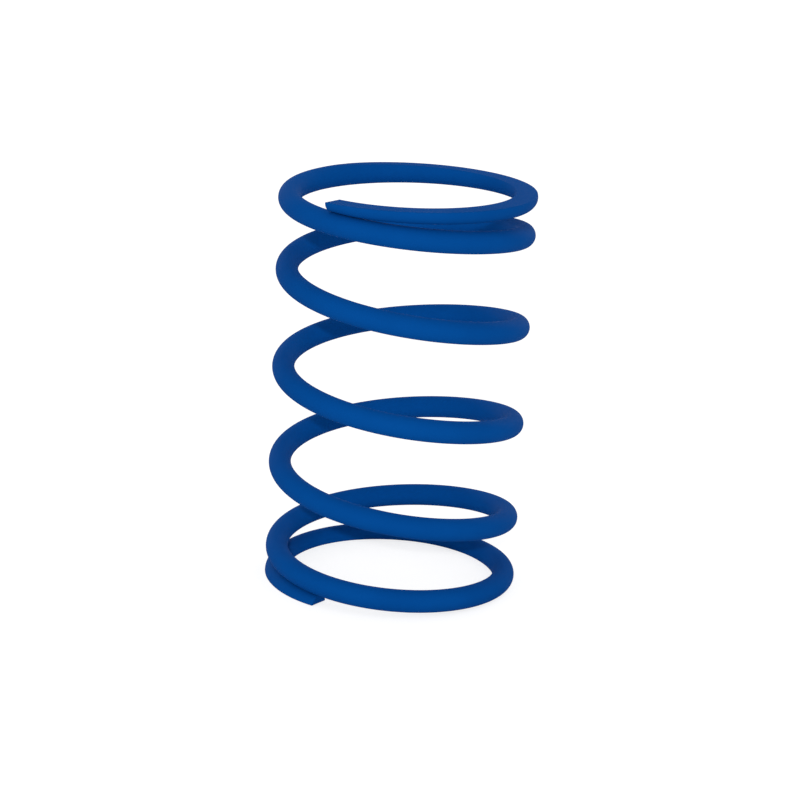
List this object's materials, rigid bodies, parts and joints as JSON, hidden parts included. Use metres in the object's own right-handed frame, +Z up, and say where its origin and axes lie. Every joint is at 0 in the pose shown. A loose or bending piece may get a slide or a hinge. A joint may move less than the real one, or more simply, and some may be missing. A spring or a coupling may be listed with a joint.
{
  "type": "die spring",
  "caption": "Cylindrical compression spring of round wire, wound left-hand, with closed and ground ends that seat flat in a pocket.",
  "frame": {"origin": "on the spring's axis, in the plane of the lower ground seat", "axes": "+Z up the spring's axis to the upper seat, -Y the front, the side on which both tips of the wire show"},
  "size_m": [0.048, 0.048, 0.0762],
  "materials": {
    "blue_paint": "matte"
  },
  "bodies": {
    "root": {"spring_coil": "blue_paint"}
  },
  "joints": []
}
